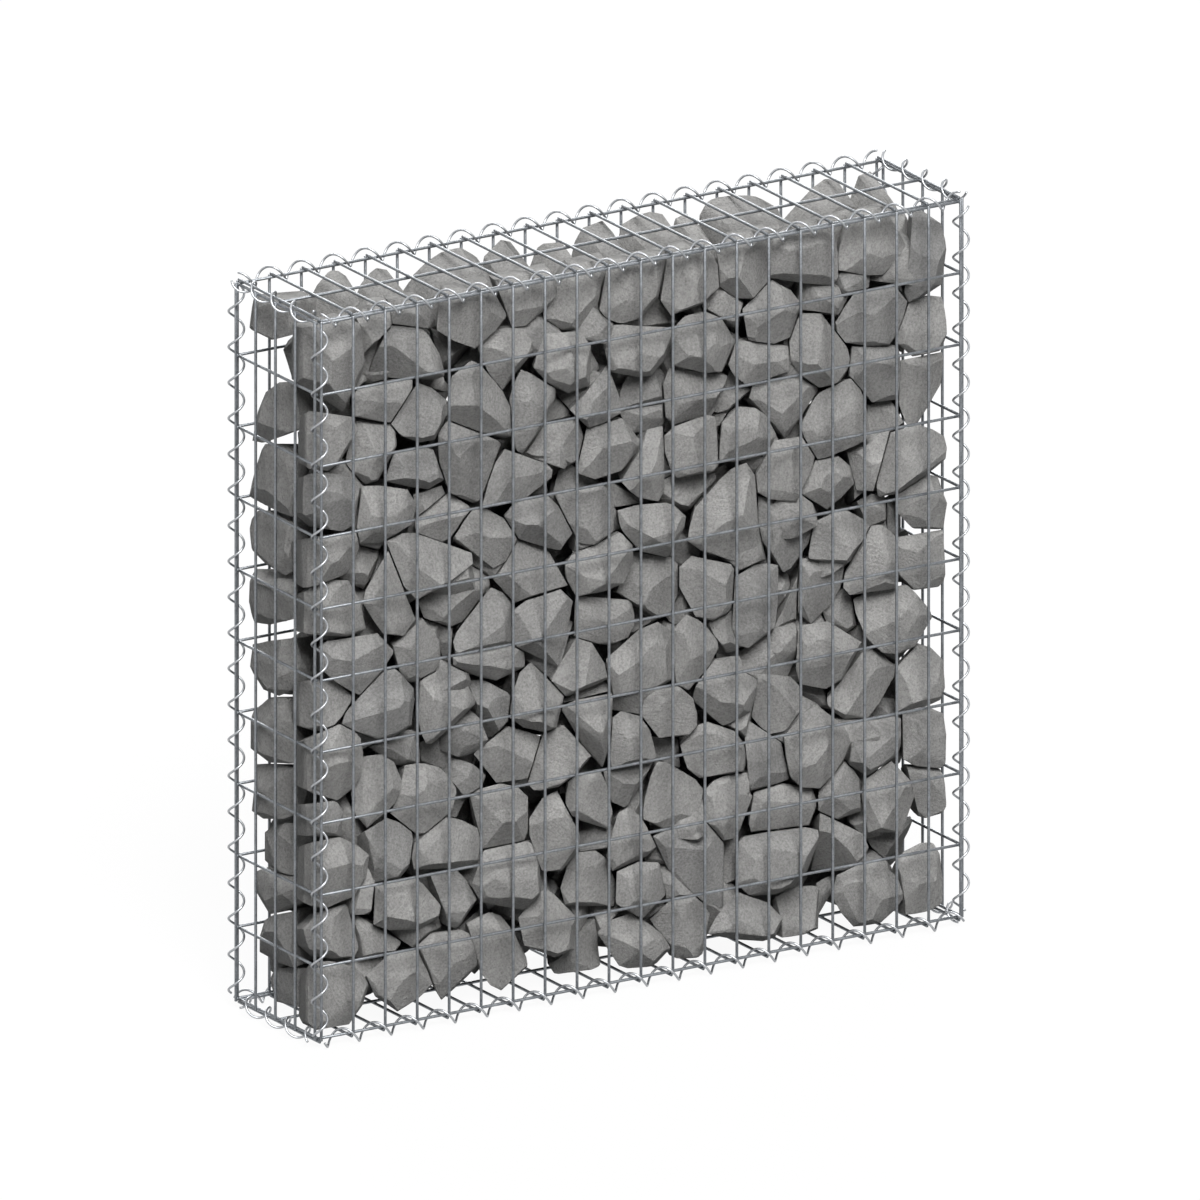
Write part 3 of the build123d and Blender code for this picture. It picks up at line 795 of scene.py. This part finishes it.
def dressed(points, outline, facing, slide, relief):
    """A stone split to facets that slope back from its face to the corners of its outline.

    The facets keep the outline in view of the camera.
    """
    middle = outline.mean(0)
    flat = [i for i in range(3) if facing[i] == 0]
    for p, q in zip(outline, np.roll(outline, -1, 0)):
        along = q - p
        if np.linalg.norm(along) < SHORTEST_SIDE:
            continue
        out = np.cross(along, facing)
        out = unit(out if out @ ((p + q) / 2 - middle) > 0 else -out)
        hidden = math.degrees(math.atan(max(0, out[flat] @ slide)))
        if rng.random() < FLAT_SHARE:
            slope = rng.uniform(*FLAT_SLOPES)
        else:
            slope = rng.uniform(*SLOPES) + STEEPER_BELOW * out[2]
        slope = math.radians(max(slope, hidden + SIGHT_MARGIN))
        normal = math.cos(slope) * out + math.sin(slope) * facing
        points = cut(points, p, normal)
    for i in range(rng.choice(FACE_COUNTS)):
        sideways = (rng.uniform(-FACE_LEAN, FACE_LEAN), rng.uniform(-FACE_LEAN, FACE_LEAN))
        lean = np.array((*sideways, rng.uniform(-FACE_LEAN_DOWN, FACE_LEAN_UP)))
        normal = unit(facing + lean * (LATER_LEAN if i else 1))
        peak = (points @ normal).max()
        rim = (outline @ normal).max()
        share = rng.uniform(*FACE_SHARES)
        at = max(rim + RIM_MARGIN, peak - (peak - rim) * share * (LATER_SHARE if i else 1))
        points = cut(points, normal * at, normal)
    return cut(points, middle + facing * relief, facing)


# Stones of the front layer, set a little deeper and drawn a little larger than they were read. Their
# inner ends follow a share of the camera's slide, so those under the lid run back nearly level.
SET_BACK = 11.0
SET_BACK_SCALE = 1.2
SET_BACK_SPREAD = (-3, 6)
LOW_COURSE = -436
HIGH_COURSE = 470
LEFT_COURSE = -505
GROWTH = 2.5
GROWTH_WITH_DEPTH = 0.12
DEEPEST_FOOT = 75
BODY_DEPTHS = (58, 78)
BODY_LOSS = 0.3
BODY_SPREAD = (-5, 5)
BODY_JITTER = 0.05
BODY_SHRINK = (0.76, 0.9)
LOW_SHRINK = 0.6
HIGH_SHRINK = 0.06
FOLLOW = 0.8
LEFT_FOLLOW = 0.2
LOW_FOLLOW = 1.0
HIGH_FOLLOW = 0.1
RELIEF = 0.42


def set_in(outline, depth, slide, axis, face):
    """An outline that the camera sees on a face of the basket, moved to a depth behind that face."""
    return np.insert(outline + slide * depth, axis, face + depth, 1)


def front_stone(row):
    deep = SET_BACK + SET_BACK_SCALE * row[0] + rng.uniform(*SET_BACK_SPREAD)
    seen = np.array(row[1:], float).reshape(-1, 2)
    middle = (seen.min(0) + seen.max(0)) / 2
    low_course = seen[:, 1].min() < LOW_COURSE
    size = np.ptp(seen, 0).min()
    seen = middle + (seen - middle) * (1 + (GROWTH + GROWTH_WITH_DEPTH * row[0]) / size)
    face = (FRONT_SLIDE, Y, -DEPTH / 2)
    rim = set_in(seen, deep, *face)
    points = [*set_in(seen, FACE_CLEAR, *face), *rim]
    if low_course:
        for x, z in seen:
            foot = (z - FLOOR_Z) / -FRONT_SLIDE[1]
            if deep < foot < DEEPEST_FOOT:
                points.append((x + FRONT_SLIDE[0] * foot, -DEPTH / 2 + foot, FLOOR_Z))
    body = rng.uniform(*BODY_DEPTHS) - BODY_LOSS * deep
    high_course = seen[:, 1].max() > HIGH_COURSE
    sideways = LEFT_FOLLOW if seen[:, 0].min() < LEFT_COURSE else FOLLOW
    if low_course:
        slide = np.array((sideways, LOW_FOLLOW))
        shrink = LOW_SHRINK
    else:
        slide = np.array((sideways, HIGH_FOLLOW if high_course else FOLLOW))
        shrink = rng.uniform(*BODY_SHRINK) + HIGH_SHRINK * high_course
    slid = FRONT_SLIDE * deep
    back = ring(seen + slid, middle + slid, shrink, size * BODY_JITTER)
    for x, z in back + slide * FRONT_SLIDE * body:
        points.append((x, -DEPTH / 2 + deep + body + rng.uniform(*BODY_SPREAD), z))
    relief = min(deep - FACE_CLEAR, RELIEF * size)
    return dressed(np.array(points), rim, FRONT, FRONT_SLIDE, relief)


END_SET_BACK = 6
END_DEPTHS = (58, 74)
END_SHRINK = 0.8
END_JITTER = 4


def end_stone(row):
    deep = row[0] + END_SET_BACK
    seen = np.array(row[1:], float).reshape(-1, 2)
    middle = (seen.min(0) + seen.max(0)) / 2
    face = (END_SLIDE, X, -LENGTH / 2)
    rim = set_in(seen, deep, *face)
    points = [*set_in(seen, FACE_CLEAR, *face), *rim]
    slid = END_SLIDE * deep
    for y, z in ring(seen + slid, middle + slid, END_SHRINK, END_JITTER):
        points.append((-LENGTH / 2 + deep + rng.uniform(*END_DEPTHS), y, z))
    return dressed(np.array(points), rim, LEFT_END, END_SLIDE, deep - FACE_CLEAR)


BACK_Y = 99.0
BACK_SHRINK = (0.75, 0.9)
BACK_JITTER = 5
BACK_DEPTHS = (12, 20)


def back_stone(outline, widest, drop=0.0):
    """Stone at the back of the basket, widest at that depth, and with its inner end lower by drop."""
    seen = np.array(outline, float).reshape(-1, 2)
    middle = (seen.min(0) + seen.max(0)) / 2
    rim = np.array([(x, widest, z) for x, z in seen])
    points = list(rim) + [(x, BACK_Y, z) for x, z in seen]
    for x, z in ring(seen, middle, rng.uniform(*BACK_SHRINK), BACK_JITTER):
        points.append((x, rng.uniform(*BACK_DEPTHS), z - drop))
    return dressed(np.array(points), rim, -FRONT, np.zeros(2), BACK_Y - widest)


CORNER_COUNTS = (5, 7)
CORNER_SWAY = 0.33
CORNER_REACH = (0.84, 1.22)


def rough_outline(x, z, half_x, half_z):
    """A lopsided outline with five to seven corners."""
    count = rng.randint(*CORNER_COUNTS)
    start = rng.uniform(0, math.tau)
    out = []
    for i in range(count):
        t = start + math.tau * (i + rng.uniform(-CORNER_SWAY, CORNER_SWAY)) / count
        far = rng.uniform(*CORNER_REACH)
        out += [x + half_x * far * math.cos(t), z + half_z * far * math.sin(t)]
    return out


# Each stone with its rank: of two that meet, the one with the higher rank gives way
END_RANK = 30
BACK_RANK = 60
RANK_SPREAD = 4
TOP_WIDEST = 82.0
TOP_DROP = 26.0
stones = [(front_stone(row), row[0]) for row in FRONT_STONES]
stones += [(end_stone(row), END_RANK) for row in END_STONES]
stones += [(back_stone(row, TOP_WIDEST, TOP_DROP), BACK_RANK) for row in BACK_TOPS]

# Rows of stones at the back, from the bottom up. The last one leaves room for stones from the list.
BACK_ROWS = 9
ROW_COUNTS = (9, 10, 10, 11)
LOWEST_ROW = -446
ROW_STEP = 99
ROW_START = -402
FULL_ROW_START = -412
LAST_ROW_START = -330
ROW_END = 455
ROW_SPARE = 0.6
ROW_SHIFT = 14
WIDTHS = (0.52, 0.66)
HALF_HEIGHTS = (52, 64)
SHIFT_X = 7
SHIFT_Z = 12
WIDEST = (72, 84)
for r in range(BACK_ROWS):
    z = LOWEST_ROW + ROW_STEP * r
    count = rng.choice(ROW_COUNTS)
    x = ROW_START if count < max(ROW_COUNTS) else FULL_ROW_START
    if r == BACK_ROWS - 1:
        x = LAST_ROW_START
    step = (ROW_END - x) / (count - ROW_SPARE)
    x += rng.uniform(-ROW_SHIFT, ROW_SHIFT)
    for i in range(count):
        half_x = step * rng.uniform(*WIDTHS)
        half_z = rng.uniform(*HALF_HEIGHTS)
        place_x = x + rng.uniform(-SHIFT_X, SHIFT_X)
        outline = rough_outline(place_x, z + rng.uniform(-SHIFT_Z, SHIFT_Z), half_x, half_z)
        stones.append((back_stone(outline, rng.uniform(*WIDEST)), BACK_RANK))
        x += step
ranks = [rank + rng.uniform(-RANK_SPREAD, RANK_SPREAD) for _, rank in stones]
stones = [inside_basket(points) for points, _ in stones]

# Where two stones overlap, each is cut back to a plane between them
NUDGE_SIZES = (0.16, 0.07, 0.03)
SHARE_PER_RANK = 0.1


def least_overlap(a, b, normal):
    """Direction from one stone to another in which they overlap least, near a first guess."""
    for nudge in NUDGE_SIZES:
        tries = np.vstack((normal, normal + nudge * NUDGES))
        tries /= np.linalg.norm(tries, axis=1)[:, None]
        depth = (a @ tries.T).max(0) - (b @ tries.T).min(0)
        normal = tries[int(depth.argmin())]
    return normal


def spans(points):
    return extent(points @ DIRECTIONS.T)


reaches = [spans(points) for points in stones]
boxes = [extent(points) for points in stones]
for i in range(len(stones)):
    for j in range(i):
        if (boxes[i][0] > boxes[j][1]).any() or (boxes[j][0] > boxes[i][1]).any():
            continue
        depth = reaches[j][1] - reaches[i][0]
        best = int(depth.argmin())
        if depth[best] <= -2 * STONE_GAP:
            continue
        normal = least_overlap(stones[j], stones[i], DIRECTIONS[best])
        far = (stones[j] @ normal).max()
        near = (stones[i] @ normal).min()
        if far - near <= -2 * STONE_GAP:
            continue
        share = min(1, max(0, 0.5 + SHARE_PER_RANK * (ranks[i] - ranks[j])))
        plane = near + (far - near) * share
        for k, sign in ((i, -1), (j, 1)):
            stones[k] = cut(stones[k], normal * (plane - sign * STONE_GAP), normal * sign)
            reaches[k] = spans(stones[k])
            boxes[k] = extent(stones[k])


def facets(points):
    """Outward normals and distances of a convex stone's facets."""
    bm = hull_mesh(points)
    bm.normal_update()
    normals = np.array([f.normal for f in bm.faces], float)
    centre = points.mean(0)
    firsts = np.array([f.verts[0].co for f in bm.faces], float)
    bm.free()
    turned = np.sign(((firsts - centre) * normals).sum(1))
    normals *= turned[:, None]
    return normals, (firsts * normals).sum(1)


# Small stones fill what is left open behind the front layer, the largest hole first. The room at a
# place is how far it lies from any stone.
STEP = 9.0
REACH = 60.0
SMALLEST_ROOM = 16.0
LARGEST_RADIUS = 56.0
RADIUS_PER_ROOM = 2.4
NEAR = 1.1
FILLER_SHAPE = directions(22)
FILLER_REACH = (0.72, 1.05)
fill_x = np.arange(-428, 470, STEP)
fill_y = np.arange(-42, 78, STEP)
fill_z = np.arange(-458, 420, STEP)
grid = np.stack(np.meshgrid(fill_x, fill_y, fill_z, indexing="ij"), -1)
room = np.full(grid.shape[:3], REACH)
sides = [facets(points) for points in stones]


def take_room(side, box):
    near, far = box[0] - REACH, box[1] + REACH
    cells = tuple(
        slice(int(np.searchsorted(axis, a)), int(np.searchsorted(axis, b)))
        for axis, a, b in zip((fill_x, fill_y, fill_z), near, far)
    )
    normals, away = side
    part = grid[cells]
    if part.size:
        clear = (part @ normals.T - away).max(-1)
        room[cells] = np.minimum(room[cells], clear)


for side, box in zip(sides, boxes):
    take_room(side, box)
while True:
    at = np.unravel_index(int(room.argmax()), room.shape)
    if room[at] < SMALLEST_ROOM:
        break
    centre = grid[at]
    radius = min(LARGEST_RADIUS, room[at] * RADIUS_PER_ROOM)
    far = radius * np.array([rng.uniform(*FILLER_REACH) for _ in FILLER_SHAPE])
    points = centre + (FILLER_SHAPE @ np.array(random_turn())) * far[:, None]
    for k in range(len(stones)):
        if (boxes[k][0] > points.max(0)).any() or (boxes[k][1] < points.min(0)).any():
            continue
        normals, away = sides[k]
        clear = normals @ centre - away
        face = int(clear.argmax())
        if clear[face] < radius * NEAR:
            points = cut(points, normals[face] * (away[face] + STONE_GAP), -normals[face])
    points = inside_basket(points)
    stones.append(points)
    boxes.append(extent(points))
    sides.append(facets(points))
    take_room(sides[-1], boxes[-1])
    room[at] = 0

# Chips knocked off the stones' corners
CHIP_COUNTS = (1, 2, 3)
CHIP_DEPTHS = (0.8, 3.2)
for i, points in enumerate(stones):
    centre = points.mean(0)
    for _ in range(rng.choice(CHIP_COUNTS)):
        normal = unit([rng.gauss(0, 1) for _ in range(3)])
        reach = ((points - centre) @ normal).max()
        points = cut(points, centre + normal * (reach - rng.uniform(*CHIP_DEPTHS)), normal)
    stones[i] = points

# Surface of the stones: worn edges, and a fine mesh with the layers of the rock
SHORTEST_EDGE = 3.0
FLAT_ANGLE = 4
BEVELS = (0.5, 0.9)
WELD_DISTANCE = 0.05
FINER_ROUNDS = 6
SHOWN_EDGE = 12.5
HIDDEN_EDGE = 20.0
OWN_PLACES = (0, 40)
TINT_MIDDLE = 0.5
TINT_SPREAD = 0.22
LAYERS = (30, 30, 75)
WEAR_MIDDLE = 0.55
WEAR_SPREAD = 0.45
WEAR_FRACTAL = (0.9, 2.1, 3)
WEAR_DEPTH = 0.7
RIPPLE_SCALE = 90
RIPPLE_DEPTH = 0.25


def clean_hull(points):
    """Convex stone with no edge shorter than about the shortest, and flat facets whole."""
    bm = hull_mesh(points)
    bmesh.ops.remove_doubles(bm, verts=bm.verts, dist=SHORTEST_EDGE)
    left = [v.co.copy() for v in bm.verts]
    bm.free()
    bm = hull_mesh(left)
    bmesh.ops.dissolve_limit(bm, angle_limit=math.radians(FLAT_ANGLE), verts=bm.verts, edges=bm.edges)
    return bm


def finer(bm, longest):
    for _ in range(FINER_ROUNDS):
        long_edges = [e for e in bm.edges if e.calc_length() > longest]
        if not long_edges:
            break
        bmesh.ops.subdivide_edges(bm, edges=long_edges, cuts=1)
        bmesh.ops.triangulate(bm, faces=[f for f in bm.faces if len(f.verts) > 3])


class Course(Pile):
    """The stones of one lift, gathered as one mesh with each stone's own grain and tint."""

    def __init__(self):
        super().__init__()
        self.rock = []
        self.tint = []

    def add_stone(self, points, longest):
        bm = clean_hull(points)
        if len(bm.faces) < FEWEST:
            bm.free()
            return
        bevel = rng.uniform(*BEVELS)
        bmesh.ops.bevel(bm, geom=bm.edges[:], offset=bevel, segments=1, affect="EDGES", clamp_overlap=True)
        bmesh.ops.triangulate(bm, faces=bm.faces)
        bmesh.ops.remove_doubles(bm, verts=bm.verts, dist=WELD_DISTANCE)
        finer(bm, longest)
        bm.normal_update()
        turn = random_turn()
        shift = Vector([rng.uniform(*OWN_PLACES) for _ in range(3)])
        tint = min(1, max(0, rng.gauss(TINT_MIDDLE, TINT_SPREAD)))
        verts = []
        for v in bm.verts:
            own = turn @ (v.co * MM) + shift
            layered = Vector([c * scale for c, scale in zip(own, LAYERS)])
            wear = WEAR_MIDDLE + WEAR_SPREAD * noise.fractal(layered, *WEAR_FRACTAL)
            ripple = 0.5 + 0.5 * noise.noise(own * RIPPLE_SCALE)
            verts.append(tuple(v.co - v.normal * (WEAR_DEPTH * max(0, wear) + RIPPLE_DEPTH * ripple)))
            self.rock.append(tuple(own))
            self.tint.append(tint)
        self.add(verts, [[v.index for v in f.verts] for f in bm.faces])
        bm.free()

    def build(self, name):
        obj = make_object(name, self.verts, self.faces, ROCK, STONE_SMOOTH)
        rock_at = obj.data.attributes.new("rock", "FLOAT_VECTOR", "POINT")
        rock_at.data.foreach_set("vector", np.array(self.rock, np.float32).ravel())
        tint_at = obj.data.attributes.new("tint", "FLOAT", "POINT")
        tint_at.data.foreach_set("value", np.array(self.tint, np.float32))
        return obj


courses = [Course() for _ in range(LIFTS)]
shown = len(FRONT_STONES) + len(END_STONES)
for i, points in enumerate(stones):
    z = (points[:, 2].min() + points[:, 2].max()) / 2
    lift = int((z + HEIGHT / 2) / HEIGHT * LIFTS)
    courses[min(LIFTS - 1, max(0, lift))].add_stone(points, SHOWN_EDGE if i < shown else HIDDEN_EDGE)
for number, course in enumerate(courses, 1):
    place(course.build(f"stones_{number:02d}"), "stone", f"stone_fill_{number:02d}")

# Floor and world, which the camera and reflections see as white, while both light the object less
WHITE = (1, 1, 1, 1)
FLOOR_GLOW = 0.94
FLOOR_SHADOWED = (*grey(0.8), 1)
FLOOR_BOUNCE = (*grey(0.16), 1)
FLOOR_HALF = 20.0
FLOOR_DROP = 0.0005
AMBIENT = 0.08
AMBIENT_COLOR = (0.93, 0.96, 1.0, 1)


def looking_rays(n):
    """Factor of 1 for the rays that show a background: those of the camera, gloss and glass."""
    path = n.add("ShaderNodeLightPath").outputs
    seen = path["Is Camera Ray"]
    for ray in ("Is Glossy Ray", "Is Transmission Ray"):
        seen = n.add("ShaderNodeMath", {0: seen, 1: path[ray]}, operation="MAXIMUM").outputs[0]
    return seen


def floor_material():
    n = Nodes(bpy.data.materials.new("pale_floor"))
    seen = looking_rays(n)
    share = n.add("ShaderNodeMath", {0: seen, 1: FLOOR_GLOW}, operation="MULTIPLY")
    color = n.add("ShaderNodeMixRGB", {"Fac": seen, "Color1": FLOOR_BOUNCE, "Color2": FLOOR_SHADOWED})
    plain = n.add("ShaderNodeBsdfDiffuse", {"Color": color.outputs["Color"]})
    glow = n.add("ShaderNodeEmission", {"Color": WHITE, "Strength": 1.0})
    mix = n.add("ShaderNodeMixShader", {0: share.outputs[0], 1: plain.outputs[0], 2: glow.outputs[0]})
    return n.finish(mix.outputs[0])


def studio_world():
    n = Nodes(bpy.data.worlds.new("studio"))
    ambient = n.add("ShaderNodeBackground", {"Color": AMBIENT_COLOR, "Strength": AMBIENT})
    white = n.add("ShaderNodeBackground", {"Color": WHITE, "Strength": 1.0})
    mix = n.add("ShaderNodeMixShader", {0: looking_rays(n), 1: ambient.outputs[0], 2: white.outputs[0]})
    return n.finish(mix.outputs[0], "ShaderNodeOutputWorld")


corners = [(FLOOR_HALF * x, FLOOR_HALF * y, -FLOOR_DROP) for x, y in ((-1, -1), (1, -1), (1, 1), (-1, 1))]
floor_mesh = bpy.data.meshes.new("floor")
floor_mesh.from_pydata(corners, [], [(0, 1, 2, 3)])
floor_mesh.materials.append(floor_material())
floor = bpy.data.objects.new("floor", floor_mesh)
bpy.context.scene.collection.objects.link(floor)
bpy.context.scene.world = studio_world()

# Lights
LAMP_HEIGHT = 3


def sun(name, strength, towards, angle, color=(1, 1, 1)):
    data = bpy.data.lights.new(name, "SUN")
    data.energy = strength
    data.color = color
    data.angle = math.radians(angle)
    obj = bpy.data.objects.new(name, data)
    bpy.context.scene.collection.objects.link(obj)
    obj.location = (0, 0, LAMP_HEIGHT)
    obj.rotation_euler = Vector(towards).to_track_quat("-Z", "Y").to_euler()


sun("key", 4.15, (0.24, 0.66, -0.71), angle=30, color=(1.0, 0.995, 0.99))
sun("sky", 0.75, (0.05, 0.15, -1.0), angle=60)
sun("back", 2.1, (-0.42, -0.8, -0.42), angle=30)
sun("fill", 0.14, (0.9, 0.25, -0.35), angle=40, color=(0.97, 0.98, 1.0))

# Camera, without perspective, aimed this many pixels to the right of and below the mesh's middle
AZIMUTH = math.radians(-31.71)
ELEVATION = math.radians(18.03)
PIXELS_PER_METRE = 751.46
PICTURE = 1200
AIM_RIGHT = 0.98
AIM_DOWN = 0.30
CAMERA_AWAY = 8
CLIP_END = 60
backward = Vector(
    (math.sin(AZIMUTH) * math.cos(ELEVATION), -math.cos(AZIMUTH) * math.cos(ELEVATION), math.sin(ELEVATION))
)
rightward = Vector((math.cos(AZIMUTH), math.sin(AZIMUTH), 0))
upward = backward.cross(rightward)
camera_data = bpy.data.cameras.new("camera")
camera_data.type = "ORTHO"
camera_data.ortho_scale = PICTURE / PIXELS_PER_METRE
camera_data.clip_end = CLIP_END
camera = bpy.data.objects.new("camera", camera_data)
bpy.context.scene.collection.objects.link(camera)
middle = Vector((0, 0, MID_Z * MM))
target = middle + rightward * (AIM_RIGHT / PIXELS_PER_METRE) - upward * (AIM_DOWN / PIXELS_PER_METRE)
camera.location = target + backward * CAMERA_AWAY
camera.rotation_euler = backward.to_track_quat("Z", "Y").to_euler()
bpy.context.scene.camera = camera
bpy.context.scene.view_settings.view_transform = "Standard"
